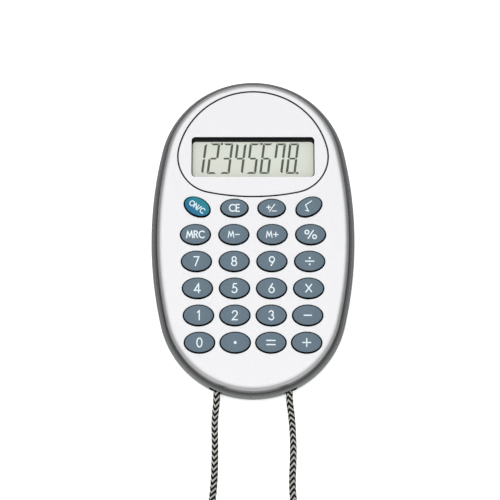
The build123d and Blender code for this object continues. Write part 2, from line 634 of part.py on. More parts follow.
def chip_blob():
    """The resin drop over the bare chip, under the board."""
    ball_r = (CHIP_DROP_R**2 + CHIP_DROP_HEIGHT**2) / (2 * CHIP_DROP_HEIGHT)
    ball = Pos(0, WINDOW_Y, BOARD_FLOOR_Z - CHIP_DROP_HEIGHT + ball_r) * Sphere(ball_r)
    return ball & drum(CHIP_DROP_R, 0, BOARD_FLOOR_Z, y=WINDOW_Y)


def small_parts(size, places):
    """Chip parts of one kind, soldered under the board."""
    width, length, height = size
    return Compound(
        children=[block(width, length, BOARD_FLOOR_Z - height, BOARD_FLOOR_Z, x, y) for x, y in places]
    )


def button_cell():
    """The button cell, its can towards the door."""
    can_top = CELL_Z + CELL_THICKNESS - CELL_CAP_STEP
    can = drum(CELL_R, CELL_Z, can_top, y=CELL_Y)
    can = fillet(can.edges(), CELL_EDGE_R)
    cap_foot = can_top - 2 * CELL_EDGE_R
    return can + drum(CELL_R - CELL_CAP_INSET, cap_foot, CELL_Z + CELL_THICKNESS, y=CELL_Y)


def negative_contact():
    """The leaf between the board and the cell's cap."""
    top = BOARD_FLOOR_Z
    cap = CELL_Z + CELL_THICKNESS
    reach = CELL_R - LEAF_TIP_INSET
    start, end = CELL_Y + CELL_R - LEAF_END_INSET, CELL_Y - reach
    near, far = CELL_Y + LEAF_FLAT, CELL_Y - LEAF_FLAT
    t = CONTACT_THICKNESS
    bend = CELL_Y + reach / 2
    outline = Polyline(
        (start, top), (start, top - t), (bend, top - t), (near, cap), (far, cap),
        (end, top - t), (end, top - t / 3), (far, cap + t), (near, cap + t),
        (bend + t, top), (start, top),
    )  # fmt: skip
    face = Plane.YZ * make_face(outline)
    return extrude(face, amount=CONTACT_WIDTH / 2, both=True)


def positive_contact():
    """The blade that stands in the well's slot against the cell's can, with its foot on the board."""
    low = DOOR_RECESS_Z + CELL_WALL + CLOSE
    foot_low = BOARD_FLOOR_Z - CONTACT_THICKNESS
    blade_x, foot_x = CELL_R + CONTACT_THICKNESS / 2, CELL_R + CONTACT_FOOT / 2
    blade = block(CONTACT_THICKNESS, CONTACT_WIDTH, low, BOARD_FLOOR_Z, blade_x, CELL_Y)
    foot = block(CONTACT_FOOT, CONTACT_WIDTH, foot_low, BOARD_FLOOR_Z, foot_x, CELL_Y)
    return blade + foot


def battery_door():
    """The door over the cell: a plate with a rolled hinge edge, two pins and a sprung latch tongue."""
    roll_r = DOOR_THICKNESS / 2
    plate = RectangleRounded(DOOR_WIDTH, DOOR_LENGTH, DOOR_CORNER_R)
    door = slab(Pos(0, CELL_Y) * plate, DOOR_SINK, DOOR_TOP_Z)
    door -= block(DOOR_WIDTH + 1, 4 * roll_r, -1, FACE_Z, y=HINGE_Y + 2 * roll_r)
    door += Pos(0, HINGE_Y, HINGE_Z) * Rot(0, 90, 0) * Cylinder(roll_r, DOOR_WIDTH)
    door += Pos(0, HINGE_Y, HINGE_Z) * Rot(0, 90, 0) * Cylinder(
        HINGE_PIN_R, DOOR_WIDTH + 2 * HINGE_PIN_LENGTH
    )
    edge_y = CELL_Y - DOOR_LENGTH / 2
    for side in (-1, 1):
        x = side * (LATCH_WIDTH + LATCH_SLIT) / 2
        door -= block(LATCH_SLIT, 2 * LATCH_LENGTH, -1, FACE_Z, x, edge_y)
    bump = Pos(0, edge_y + LATCH_BUMP, HINGE_Z) * Rot(0, 90, 0) * Cylinder(
        2 * LATCH_BUMP, LATCH_BUMP_WIDTH
    )
    return door + bump


# ---------------------------------------------------------------- fasteners
def screw(x, y, head_r, head, shank_r, seat, tip):
    """One cross-slotted screw that points up, with its head under seat."""
    body = drum(head_r, seat - head, seat, x, y)
    body = fillet(level_edges(body, seat - head), head / 3)
    body += drum(shank_r, seat - 0.01, tip, x, y)
    for angle in (45, 135):
        slot = Box(head_r * 1.3, DRIVE_SLOT, head)
        body -= Pos(x, y, seat - head) * Rot(0, 0, angle) * slot
    return body


def case_screws():
    """The screws that hold the two covers together, from the back."""
    size = (CASE_SCREW_HEAD_R, CASE_SCREW_HEAD, CASE_SCREW_R, HEAD_SEAT_Z, CASE_SCREW_TIP_Z)
    return Compound(children=[screw(x, y, *size) for x, y in CASE_SCREWS])


def board_screws():
    """The small screws that hold the board to the front cover."""
    tip = CEILING_Z - BOARD_SCREW_TIP_GAP
    size = (BOARD_SCREW_HEAD_R, BOARD_SCREW_HEAD, BOARD_SCREW_R, BOARD_FLOOR_Z, tip)
    return Compound(children=[screw(x, y, *size) for x, y in board_screw_places()])


# ---------------------------------------------------------------- cord
def cord_coil():
    """The outer shape of the put-away coil."""
    ring = slab(
        Pos(0, COIL_Y) * (Circle(COIL_OUTER_R) - Circle(COIL_INNER_R)),
        TIE_THICKNESS,
        TIE_THICKNESS + COIL_HEIGHT,
    )
    return fillet(ring.edges().filter_by(GeomType.CIRCLE), COIL_EDGE_R)


def cord_tie(coil):
    """The band round the coil's turns, at the side away from the case."""
    length = COIL_OUTER_R - COIL_INNER_R + 2 * TIE_THICKNESS
    height = COIL_HEIGHT + 2 * TIE_THICKNESS
    band = block(TIE_WIDTH, length, 0, height, y=COIL_Y - COIL_MEAN_R)
    band = fillet(band.edges().filter_by(Axis.X), COIL_EDGE_R)
    return band - coil


def cord_run(name, route):
    """One plain length of cord: straight runs joined by arcs as large as the runs allow.

    It ends inside the coil's solid, where its turns begin.
    """
    points = [Vector(*p) for p in route]
    radii = []
    for before, here, after in zip(points, points[1:], points[2:]):
        turn = math.radians((here - before).get_angle(after - here))
        shorter = min((here - before).length, (after - here).length)
        radii.append(0.45 * shorter / math.tan(turn / 2))
    path = FilletPolyline(*points, radius=radii)
    tube = sweep(Plane(origin=path @ 0, z_dir=path % 0) * Circle(CORD_R), path=path)
    share = tube.volume / (math.pi * CORD_R**2 * path.length)
    print(name, "length", round(path.length, 1), "volume share", round(share, 4))
    print("  radii", [round(r, 1) for r in radii])
    return tube


def cord_knots():
    """Both cord ends inside the case: the stub in its hole and the knot that keeps it there."""
    ends = []
    for side in (-1, 1):
        x = side * CORD_EXIT_X
        stub = Pos(x, (KNOT_MIDDLE_Y + POCKET_Y) / 2, CORD_EXIT_Z) * Rot(90, 0, 0) * Cylinder(
            CORD_R, KNOT_MIDDLE_Y - POCKET_Y
        )
        ends.append(stub + Pos(x, KNOT_MIDDLE_Y, CORD_EXIT_Z) * Sphere(KNOT_R))
    return Compound(children=ends)


# ---------------------------------------------------------------- the whole object
def build():
    """Every node's name and shape."""
    coil = cord_coil()
    nodes = {
        "front_cover": front_cover(),
        "rear_cover": rear_cover(),
        "display_insert": display_insert(),
        "display_lens": display_lens(),
        **display_layers(),
        "lcd_frame": display_frame(),
        "lcd_contact_strip": contact_strip(),
        "keypad_mat": keypad_mat(),
        "carbon_pills": carbon_pills(),
        "circuit_board": circuit_board(),
        "chip_blob": chip_blob(),
        "capacitors": small_parts(CAPACITOR, CAPACITOR_PLACES),
        "resistors": small_parts(RESISTOR, RESISTOR_PLACES),
        "button_cell": button_cell(),
        "negative_contact": negative_contact(),
        "positive_contact": positive_contact(),
        "battery_door": battery_door(),
        "case_screws": case_screws(),
        "board_screws": board_screws(),
        "cord_left": cord_run("cord_left", LEFT_ROUTE),
        "cord_right": cord_run("cord_right", RIGHT_ROUTE),
        "cord_coil": coil,
        "cord_tie": cord_tie(coil),
        "cord_knots": cord_knots(),
    }
    for place in key_places():
        nodes["key_" + place[0]] = key(place)
    return nodes


os.makedirs("parts", exist_ok=True)
for node, shape in build().items():
    export_step(shape, f"parts/{node}.step")
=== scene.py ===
"""The looks of an oval pocket calculator on a neck cord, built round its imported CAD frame.

Metres, in the CAD's frame: the calculator lies on its back, +Z comes out of the keys, and +Y
runs from the keys to the display.
"""

import json
import math

import bpy
import numpy as np
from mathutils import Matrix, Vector
from mathutils.bvhtree import BVHTree


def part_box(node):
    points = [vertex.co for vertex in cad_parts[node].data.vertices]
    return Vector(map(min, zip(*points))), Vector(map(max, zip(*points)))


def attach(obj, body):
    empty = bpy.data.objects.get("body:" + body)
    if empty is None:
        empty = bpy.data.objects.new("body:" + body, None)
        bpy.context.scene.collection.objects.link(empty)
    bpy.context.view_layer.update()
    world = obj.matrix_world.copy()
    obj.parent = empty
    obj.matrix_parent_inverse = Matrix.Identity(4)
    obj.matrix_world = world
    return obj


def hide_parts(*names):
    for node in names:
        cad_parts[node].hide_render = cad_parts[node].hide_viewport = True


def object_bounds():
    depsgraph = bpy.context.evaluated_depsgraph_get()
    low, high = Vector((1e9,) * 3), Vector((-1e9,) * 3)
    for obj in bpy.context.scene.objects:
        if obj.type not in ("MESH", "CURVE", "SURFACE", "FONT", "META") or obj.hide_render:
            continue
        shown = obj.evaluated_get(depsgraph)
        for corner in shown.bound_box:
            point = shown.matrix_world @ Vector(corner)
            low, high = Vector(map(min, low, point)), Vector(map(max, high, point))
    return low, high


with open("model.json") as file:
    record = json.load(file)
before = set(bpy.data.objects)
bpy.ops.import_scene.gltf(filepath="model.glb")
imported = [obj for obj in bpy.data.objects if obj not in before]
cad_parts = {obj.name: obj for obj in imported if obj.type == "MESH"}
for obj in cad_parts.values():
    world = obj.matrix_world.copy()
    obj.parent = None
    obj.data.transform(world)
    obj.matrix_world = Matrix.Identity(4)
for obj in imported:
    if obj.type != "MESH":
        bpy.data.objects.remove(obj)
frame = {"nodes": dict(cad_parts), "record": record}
cad_low, cad_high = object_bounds()
MM = 0.001
CASE = "case"

# ---------------------------------------------------------------- sizes, in millimetres
# Camera: nearly straight above, a little towards the cord's end
CAMERA_ELEVATION = 78.0
CAMERA_DISTANCE = 650.0
VIEW_WIDTH = 159.8  # what the picture spans at the aim point
AIM = (-0.96, -3.6, 4.0)
SENSOR = 36.0

# Cord: a braid of sixteen yarns, eight each way, that go over and under in fours
CORD_D = 2.3
YARNS_EACH_WAY = 8
BRAID_LAY = 7.3  # along the cord, for one turn of a yarn
STEPS_PER_LAY = 16
CROSSINGS = 2  # times a yarn comes to the surface in one turn
BRAID_MIDDLE_R = 0.84
BRAID_WAVE = 0.16
WAVE_STEEPNESS = 2.0  # how sharply a yarn goes from over to under
BLACK_HALF_WIDTH = 0.35
PALE_HALF_WIDTH = 0.27
YARN_HALF_THICKNESS = 0.15
CORE_R = 0.62
CORE_SIDES = 6
BRAID_TWIST = -0.55  # turns a column of chevrons to face up, in radians
TWIST_WANDER = 0.5  # how far that turn drifts to and fro along the cord, in radians
TWIST_WANDER_LENGTH = 62.0

# Pockets in the rim's side wall, one each side of the middle, where the cord leaves
POCKET_Y = -47.45
POCKET_X = 11.85
POCKET_WIDTH = 3.9
POCKET_DEPTH = 2.0
POCKET_FLOOR = 3.3
POCKET_TOP = 5.5
POCKET_SIDE_MARGIN = 0.04
POCKET_LEVEL_MARGIN = 0.02
EXIT_Z = 3.5

# Put-away coil
COIL_Y = -107.0
COIL_TURNS = 9.5
OUTER_TURN_R = 17.33
TURN_PITCH = 2.35
LOWER_TURN_Z = 1.55
RAMP_TURNS = 0.7  # the climb from the lower layer to the upper one
POINTS_PER_TURN = 20

# Display: eight slanted seven-segment digits
DIGIT_HEIGHT = 10.05
DIGIT_WIDTH = 3.2
DIGIT_PITCH = 4.22
FIRST_DIGIT_X = -16.9
UPRIGHT = 0.76  # the width of an upright segment
BAR = 0.6  # the width of a level segment
SEGMENT_GAP = 0.13
SLANT = math.tan(math.radians(7.0))
SEGMENT_RISE = 0.02
MARK = 0.7  # the side of the point and of the marks that part the thousands
POINT_DROP = 0.1
THOUSANDS_RISE = 0.2

# Black sheet under the lens, painted shade of the window's deep recess, as far as it reaches in from
# the window's edge
BORDER_TOP = 1.05
BORDER_SIDE = 0.26
BORDER_FOOT = 0.56
BORDER_OUT = 0.5
BORDER_THICKNESS = 0.03
BORDER_CORNER_R = 1.1
BORDER_OUTER_R = 0.6
BORDER_GAP = 0.01  # below the lens
LENS_LAP = 0.75  # the lens reaches this far past the window

# Key legends
STROKE = 0.37
FINE_STROKE = 0.29
FINE_LEGENDS = ["on_clear", "root", "memory_minus", "memory_plus", "sign"]
INK_RISE = 0.02
INK_SINK = 0.05
LETTER_GAP = 0.22  # of the letter height
LEGEND_DROP = 0.1  # below the middle of the key's top
KEY_TOP_DEPTH = 0.1  # points this near a key's highest one belong to its top
STROKE_STEP = 0.3  # the longest straight piece of a stroke
SHARPEST_MITRE = 0.45

# Paint and painted shade: the heights that mark where surfaces get painted shade, and how the silver
# darkens into painted shade as a surface turns from straight up, which is 1, to level, which is 0
SILVER_SHADE_BELOW_Z = 9.9  # level surfaces below this are inside the silver cover, and get near-black painted shade
SEAM_SHADE_Z = 5.0  # level surfaces of the grey cover above this are its seam, and get painted shade
# keys get near-black painted shade below this, and on their rounded edges
KEY_SHADE_BELOW_Z = 10.4
LOWER_END_LIGHT = 0.25  # painted light: how much lighter the silver is on a wall that faces the lower end
# where the painted shade of the silver walls begins and ends, and how dark it gets
WALL_SHADE_FROM = 0.17
WALL_SHADE_TO = 0.8
WALL_SHADE_DARKEST = 0.06
# the teal key's painted reflection starts and ends this far inside its corners
TEAL_REFLECTION_INSET = 3.0

# Studio: brightness by height, from 0 straight down to 1 straight up
SKY_AROUND = [
    (0.0, 0.1), (0.04, 0.9), (0.2, 0.75), (0.31, 0.2), (0.42, 0.12), (0.59, 0.22), (0.8, 0.48),
    (0.93, 0.8), (0.985, 1.04),
]
SKY_NEAR = [  # beyond the cord's end
    (0.0, 0.1), (0.04, 0.8), (0.2, 0.75), (0.35, 0.45), (0.5, 0.4), (0.735, 0.42), (0.9, 0.6),
    (0.985, 1.0),
]
NEAR_SKY_REACH = 1.4  # how fast it takes over from SKY_AROUND, towards the cord's end
FLOOR_HALF_WIDTH = 6000.0
FLOOR_GAP = 0.05
FLOOR_GLOW = 0.62
LAMP_PLACE = (-100.0, 250.0, 1150.0)
LAMP_WIDTH = 900.0
LAMP_WATTS = 8.0

# ---------------------------------------------------------------- camera
def make_camera():
    """The camera, aimed at the case from above the cord's end."""
    tilt = math.radians(CAMERA_ELEVATION)
    back = Vector((0, -math.cos(tilt), math.sin(tilt)))
    data = bpy.data.cameras.new("camera")
    data.sensor_width = SENSOR
    data.lens = SENSOR * CAMERA_DISTANCE / VIEW_WIDTH
    data.clip_start = 0.01
    camera = bpy.data.objects.new("camera", data)
    camera.location = (Vector(AIM) + back * CAMERA_DISTANCE) * MM
    camera.rotation_mode = "QUATERNION"
    camera.rotation_quaternion = (-back).to_track_quat("-Z", "Y")
    bpy.context.collection.objects.link(camera)
    bpy.context.scene.camera = camera


make_camera()


# ---------------------------------------------------------------- materials
def linear(*colour):
    """An sRGB colour, 0 to 255, as linear RGBA."""
    out = [c / 255 / 12.92 if c < 10.3 else ((c / 255 + 0.055) / 1.055) ** 2.4 for c in colour]
    return (*out, 1.0)


class Shader:
    """A principled material and the few node patterns that the object's surfaces share."""

    def __init__(self, name, colour, roughness=0.5, metallic=0.0, **sockets):
        self.material = bpy.data.materials.new(name)
        self.material.use_nodes = True
        self.nodes = self.material.node_tree.nodes
        self.links = self.material.node_tree.links
        self.main = self.nodes["Principled BSDF"]
        self.main.inputs["Base Color"].default_value = colour
        self.main.inputs["Roughness"].default_value = roughness
        self.main.inputs["Metallic"].default_value = metallic
        for socket, value in sockets.items():
            self.main.inputs[socket.replace("_", " ")].default_value = value
        self.place = self.add("ShaderNodeTexCoord")
        self.colour = colour

    def add(self, kind, **values):
        """A node, with its properties set."""
        node = self.nodes.new(kind)
        for key, value in values.items():
            setattr(node, key, value)
        return node

    def link(self, start, end):
        self.links.new(start, end)

    def noise(self, per_mm, detail=3.0):
        """Noise with per_mm features in a millimetre."""
        node = self.add("ShaderNodeTexNoise")
        node.inputs["Scale"].default_value = per_mm / MM
        node.inputs["Detail"].default_value = detail
        self.link(self.place.outputs["Object"], node.inputs["Vector"])
        return node.outputs["Fac"]

    def spread(self, value, low, high):
        """Maps a noise value's middle range onto low to high."""
        node = self.add("ShaderNodeMapRange")
        node.inputs["From Min"].default_value = 0.3
        node.inputs["From Max"].default_value = 0.7
        node.inputs["To Min"].default_value = low
        node.inputs["To Max"].default_value = high
        self.link(value, node.inputs["Value"])
        return node.outputs["Result"]

    def ramp(self, value, start, end, low=0.0, high=1.0):
        """Maps a value from start to end onto low to high, and no further."""
        node = self.add("ShaderNodeMapRange", interpolation_type="SMOOTHSTEP")
        node.inputs["From Min"].default_value = start
        node.inputs["From Max"].default_value = end
        node.inputs["To Min"].default_value = low
        node.inputs["To Max"].default_value = high
        self.link(value, node.inputs["Value"])
        return node.outputs["Result"]

    def axes(self, coordinates):
        """The three parts of the surface's place or direction on the object."""
        node = self.add("ShaderNodeSeparateXYZ")
        self.link(self.place.outputs[coordinates], node.inputs["Vector"])
        return node.outputs["X"], node.outputs["Y"], node.outputs["Z"]

    def mix(self, factor, first, second):
        """A colour between two: each is a colour or another node's output."""
        node = self.add("ShaderNodeMix", data_type="RGBA")
        for socket, value in (("A", first), ("B", second)):
            end = next(i for i in node.inputs if i.name == socket and i.type == "RGBA")
            if isinstance(value, tuple):
                end.default_value = value
            else:
                self.link(value, end)
        start = next(i for i in node.inputs if i.name == "Factor" and i.type == "VALUE")
        self.link(factor, start)
        return next(o for o in node.outputs if o.type == "RGBA")

    def maths(self, operation, first, second):
        """A value worked out from two: each is a number or another node's output."""
        node = self.add("ShaderNodeMath", operation=operation)
        for index, value in enumerate((first, second)):
            if isinstance(value, (int, float)):
                node.inputs[index].default_value = value
            else:
                self.link(value, node.inputs[index])
        return node.outputs["Value"]

    def vary(self, per_mm, amount):
        """Makes the colour a little lighter and darker in patches."""
        dark = tuple(c * (1 - amount) for c in self.colour[:3]) + (1.0,)
        light = tuple(min(1.0, c * (1 + amount)) for c in self.colour[:3]) + (1.0,)
        return self.mix(self.spread(self.noise(per_mm), 0.0, 1.0), dark, light)

    def paint(self, colour_output):
        self.link(colour_output, self.main.inputs["Base Color"])
        return self

    def rough(self, per_mm, low, high):
        """Roughness that varies between two values."""
        self.link(self.spread(self.noise(per_mm), low, high), self.main.inputs["Roughness"])
        return self

    def bump(self, per_mm, depth_mm, strength=0.5):
        """Fine surface relief."""
        node = self.add("ShaderNodeBump")
        node.inputs["Strength"].default_value = strength
        node.inputs["Distance"].default_value = depth_mm * MM
        self.link(self.noise(per_mm), node.inputs["Height"])
        self.link(node.outputs["Normal"], self.main.inputs["Normal"])
        return self


# Near-black bare plastic, used as painted shade in the gaps, holes, grooves and pockets
BARE_PLASTIC_AND_SHADE = linear(16, 17, 18)


def silver_paint_and_shade():
    """Silver with painted shade down the walls, painted light on walls facing the lower end, near-black
    painted shade inside.
    """
    s = Shader("silver_paint_and_shade", linear(249, 249, 252), 0.36, 0.9)
    _, lean, facing = s.axes("Normal")
    _, _, height = s.axes("Object")
    # near-black painted shade on the groove's ledge, the hole walls and the undersides
    low = s.maths("LESS_THAN", height, SILVER_SHADE_BELOW_Z * MM)
    inside = s.maths("MULTIPLY", s.maths("GREATER_THAN", facing, 0.95), low)
    outside = s.maths("SUBTRACT", 1.0, inside)
    painted = s.maths("MULTIPLY", s.maths("GREATER_THAN", facing, 0.05), outside)
    # painted light: walls that face the lower end are lighter
    lower_end_light = s.maths("MAXIMUM", s.maths("MULTIPLY", lean, -LOWER_END_LIGHT), 0.0)
    # painted shade: the silver darkens as a surface turns from straight up towards level
    wall_shade = s.ramp(s.maths("ADD", facing, lower_end_light), WALL_SHADE_FROM, WALL_SHADE_TO, WALL_SHADE_DARKEST)
    silver_share = s.maths("MULTIPLY", wall_shade, painted)
    s.paint(s.mix(silver_share, BARE_PLASTIC_AND_SHADE, s.vary(7.0, 0.045)))
    s.link(s.maths("MULTIPLY", painted, 0.9), s.main.inputs["Metallic"])
    return s.rough(1.2, 0.33, 0.4).bump(14.0, 0.006, 0.2).material


def grey_paint_and_shade():
    """Dark grey paint, with painted shade along the seam and near-black painted shade in the cord
    pockets.
    """
    s = Shader("grey_paint_and_shade", linear(168, 171, 170), 0.38, 0.7)
    across, along, height = s.axes("Object")
    _, _, facing = s.axes("Normal")
    # near-black painted shade inside the cord pockets
    off_centre = s.maths("SUBTRACT", s.maths("ABSOLUTE", across, 0.0), POCKET_X * MM)
    half_width = (POCKET_WIDTH / 2 + POCKET_SIDE_MARGIN) * MM
    beside = s.maths("LESS_THAN", s.maths("ABSOLUTE", off_centre, 0.0), half_width)
    off_middle = s.maths("SUBTRACT", height, (POCKET_FLOOR + POCKET_TOP) / 2 * MM)
    half_height = ((POCKET_TOP - POCKET_FLOOR) / 2 + POCKET_LEVEL_MARGIN) * MM
    level = s.maths("LESS_THAN", s.maths("ABSOLUTE", off_middle, 0.0), half_height)
    behind = s.maths("LESS_THAN", along, (POCKET_Y + POCKET_DEPTH) * MM)
    pocket = s.maths("MULTIPLY", beside, s.maths("MULTIPLY", level, behind))
    # painted shade along the seam, where the silver cover's wall shades the grey
    high = s.maths("GREATER_THAN", height, SEAM_SHADE_Z * MM)
    seam = s.maths("MULTIPLY", s.ramp(facing, 0.8, 1.0), high)
    coat = s.mix(seam, s.vary(12.0, 0.08), linear(92, 95, 96))
    s.paint(s.mix(pocket, coat, BARE_PLASTIC_AND_SHADE))
    return s.rough(1.0, 0.26, 0.34).bump(12.0, 0.006, 0.2).material


def key_plastic_and_shade(name, colour, second=None, node=None):
    """Satin key paint, with near-black painted shade on the rounded edge and sides.

    A painted reflection, in a second colour, fades in across the node's key from its lower left to its
    upper right.
    """
    s = Shader(name, colour, 0.42)
    across, along, height = s.axes("Object")
    _, _, facing = s.axes("Normal")
    fill = s.vary(2.0, 0.06)
    # painted reflection: a second, greener colour fades in across the key
    if second:
        low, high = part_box(node)
        start = low[0] + low[1] + TEAL_REFLECTION_INSET * MM
        end = high[0] + high[1] - TEAL_REFLECTION_INSET * MM
        fill = s.mix(s.ramp(s.maths("ADD", across, along), start, end), fill, second)
    # near-black painted shade on the key's rounded edge and sides
    proud = s.maths("GREATER_THAN", height, KEY_SHADE_BELOW_Z * MM)
    cover = s.maths("MULTIPLY", s.ramp(facing, 0.88, 0.97), proud)
    s.paint(s.mix(cover, BARE_PLASTIC_AND_SHADE, fill))
    s.link(s.maths("MULTIPLY", cover, 0.5), s.main.inputs["Specular IOR Level"])
    return s.rough(3.0, 0.38, 0.5).bump(9.0, 0.006, 0.25).material


def plain(name, colour, roughness, metallic=0.0, grain=6.0, amount=0.08, depth=0.006):
    """A surface with a fine grain in its colour, gloss and relief."""
    s = Shader(name, colour, roughness, metallic)
    s.paint(s.vary(grain, amount)).rough(grain / 3, roughness * 0.9, min(1.0, roughness * 1.15))
    return s.bump(grain * 1.5, depth, 0.3).material


def clear(name, tint, roughness):
    """Clear window plastic that light passes straight through, with a faint gloss on top."""
    return Shader(name, tint, roughness, Alpha=0.04, Specular_IOR_Level=0.1).material


def yarn(name, colour):
    """Polyester yarn: fine fibres in its colour and relief."""
    s = Shader(name, colour, 0.8, Specular_IOR_Level=0.25)
    return s.paint(s.vary(7.0, 0.25)).bump(18.0, 0.03, 0.6).material


MATERIALS = {
    "face_silver": silver_paint_and_shade(),
    "case_grey": grey_paint_and_shade(),
    "key_slate": key_plastic_and_shade("key_slate", linear(92, 111, 124)),
    # the teal key carries a painted reflection, greener towards its upper right
    "key_teal": key_plastic_and_shade("key_teal", linear(0, 96, 142), linear(0, 128, 140), "key_on_clear"),
    "lens_clear": clear("lens_clear", linear(120, 124, 121), 0.08),
    "lcd_glass": clear("lcd_glass", linear(225, 235, 228), 0.05),
    "lcd_film": plain("lcd_film", linear(223, 227, 215), 0.55, grain=2.0, amount=0.02),
    "lcd_reflector": plain("lcd_reflector", linear(205, 212, 198), 0.6),
    "tray_white": plain("tray_white", linear(226, 226, 222), 0.6),
    "contact_rubber": plain("contact_rubber", linear(196, 150, 150), 0.7),
    "mat_rubber": plain("mat_rubber", linear(46, 47, 49), 0.75),
    "carbon": plain("carbon", linear(30, 30, 30), 0.8),
    "board_green": plain("board_green", linear(30, 104, 58), 0.4),
    "resin_black": plain("resin_black", linear(18, 18, 19), 0.22),
    "part_tan": plain("part_tan", linear(176, 146, 108), 0.5),
    "part_black": plain("part_black", linear(32, 32, 33), 0.5),
    "cell_steel": plain("cell_steel", linear(206, 206, 204), 0.28, 1.0),
    "contact_steel": plain("contact_steel", linear(214, 208, 190), 0.3, 1.0),
    "screw_steel": plain("screw_steel", linear(176, 177, 180), 0.35, 1.0),
    "cord_braid": yarn("yarn_black", linear(20, 20, 19)),
    "tie_black": plain("tie_black", linear(28, 28, 28), 0.8, grain=3.0),
}
PALE_YARN = yarn("yarn_pale", linear(196, 197, 190))
INK = plain("ink_white", linear(228, 240, 245), 0.5, grain=3.0, amount=0.03)
SEGMENTS = plain("lcd_segment", linear(76, 84, 75), 0.5, grain=3.0, amount=0.04)
# near-black painted shade for the display window's recess
SHADE_BORDER = Shader("border_painted_shade", linear(14, 14, 14), 0.7, Specular_IOR_Level=0.1).material
SLOTS = {s["node"]: s["material_slot"] for s in frame["record"]["subparts"]}


def dress_nodes():
    """Gives every CAD node the material of its slot."""
    for name, node in frame["nodes"].items():
        node.data.materials.clear()
        node.data.materials.append(MATERIALS[SLOTS[name]])


dress_nodes()


# ---------------------------------------------------------------- meshes
def new_piece(name, points, faces, material, body, smooth=True):
    """A mesh piece that rides on a body."""
    mesh = bpy.data.meshes.new(name)
    mesh.from_pydata([tuple(p) for p in points], [], [tuple(f) for f in faces])
    mesh.materials.append(material)
    mesh.polygons.foreach_set("use_smooth", [smooth] * len(mesh.polygons))
    mesh.validate()
    piece = bpy.data.objects.new(name, mesh)
    bpy.context.collection.objects.link(piece)
    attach(piece, body)
    return piece


# ---------------------------------------------------------------- cord
FLOOR_Z = CORD_D / 2  # the middle of a cord that lies on the floor
UPPER_TURN_Z = LOWER_TURN_Z + TURN_PITCH
LEFT_ROUTE = [
    (-11.4, POCKET_Y, EXIT_Z),
    (-11.4, POCKET_Y - 4.6, EXIT_Z),
    (-12.2, POCKET_Y - 10.4, FLOOR_Z + 0.15),
    (-11.9, POCKET_Y - 21.0, FLOOR_Z + 0.02),
    (-12.4, POCKET_Y - 34.5, FLOOR_Z + 0.04),
    (-14.4, POCKET_Y - 43.0, FLOOR_Z + 0.1),
    (-16.9, POCKET_Y - 51.0, LOWER_TURN_Z),
]
RIGHT_ROUTE = [
    (11.4, POCKET_Y, EXIT_Z),
    (11.4, POCKET_Y - 4.6, EXIT_Z),
    (12.3, POCKET_Y - 10.0, FLOOR_Z + 0.15),
    (12.8, POCKET_Y - 20.0, FLOOR_Z + 0.02),
    (12.1, POCKET_Y - 33.0, FLOOR_Z + 0.04),
    (13.8, POCKET_Y - 42.0, FLOOR_Z + 0.3),
    (16.8, POCKET_Y - 50.0, UPPER_TURN_Z - 0.9),
]


def coil_points():
    """The coil's turns: inwards on the lower layer, up, and outwards on the upper one."""
    count = round(COIL_TURNS * POINTS_PER_TURN)
    spread = 1 / math.cos(math.pi / POINTS_PER_TURN)  # the spline cuts inside its points
    half = COIL_TURNS / 2
    points = []
    for step in range(count + 1):
        turn = step / POINTS_PER_TURN
        radius = (OUTER_TURN_R - TURN_PITCH * (half - abs(turn - half))) * spread
        climb = min(1.0, max(0.0, (turn - half) / RAMP_TURNS + 0.5))
        angle = math.pi + 2 * math.pi * turn
        x, y = radius * math.cos(angle), COIL_Y + radius * math.sin(angle)
        points.append((x, y, LOWER_TURN_Z + TURN_PITCH * climb * climb * (3 - 2 * climb)))
    return points


def cord_line():
    """Evenly spaced points along the cord's smooth route, in millimetres."""
    route = LEFT_ROUTE + coil_points() + RIGHT_ROUTE[::-1]
    curve = bpy.data.curves.new("cord_route", "CURVE")
    curve.dimensions = "3D"
    curve.resolution_u = 8
    spline = curve.splines.new("NURBS")
    spline.points.add(len(route) - 1)
    for point, place in zip(spline.points, route):
        point.co = (*(c * MM for c in place), 1.0)
    spline.order_u = 3
    spline.use_endpoint_u = True
    holder = bpy.data.objects.new("cord_route", curve)
    bpy.context.collection.objects.link(holder)
    mesh = bpy.data.meshes.new_from_object(holder)
    raw = np.array([v.co[:] for v in mesh.vertices]) / MM
    bpy.data.objects.remove(holder)
    bpy.data.meshes.remove(mesh)
    steps = np.linalg.norm(np.diff(raw, axis=0), axis=1)
    along = np.concatenate([[0], np.cumsum(steps)])
    count = int(along[-1] / (BRAID_LAY / STEPS_PER_LAY)) + 1
    even = np.linspace(0, along[-1], count)
    return np.stack([np.interp(even, along, raw[:, k]) for k in range(3)], axis=1), along[-1]


def carried_frames(line):
    """Two directions across the line at each point, turned no more than the line turns them."""
    ahead = np.gradient(line, axis=0)
    ahead /= np.linalg.norm(ahead, axis=1)[:, None]
    across = np.zeros_like(line)
    across[0] = np.cross(ahead[0], (0, 0, 1))
    for i in range(1, len(line)):
        side = across[i - 1] - ahead[i] * np.dot(across[i - 1], ahead[i])
        across[i] = side / np.linalg.norm(side)
    return ahead, across, np.cross(across, ahead)


def tube_faces(rings, sides, first):
    """Quads round and along a tube whose rings of points start at first, with its ends closed."""
    ring = np.arange(rings - 1)[:, None] * sides
    side = np.arange(sides)[None, :]
    ahead = (side + 1) % sides
    corners = [ring + side, ring + ahead, ring + sides + ahead, ring + sides + side]
    faces = (np.stack(corners, axis=2).reshape(-1, 4) + first).tolist()
    last = first + (rings - 1) * sides
    faces.append(list(range(first + sides - 1, first - 1, -1)))
    faces.append(list(range(last, last + sides)))
    return faces


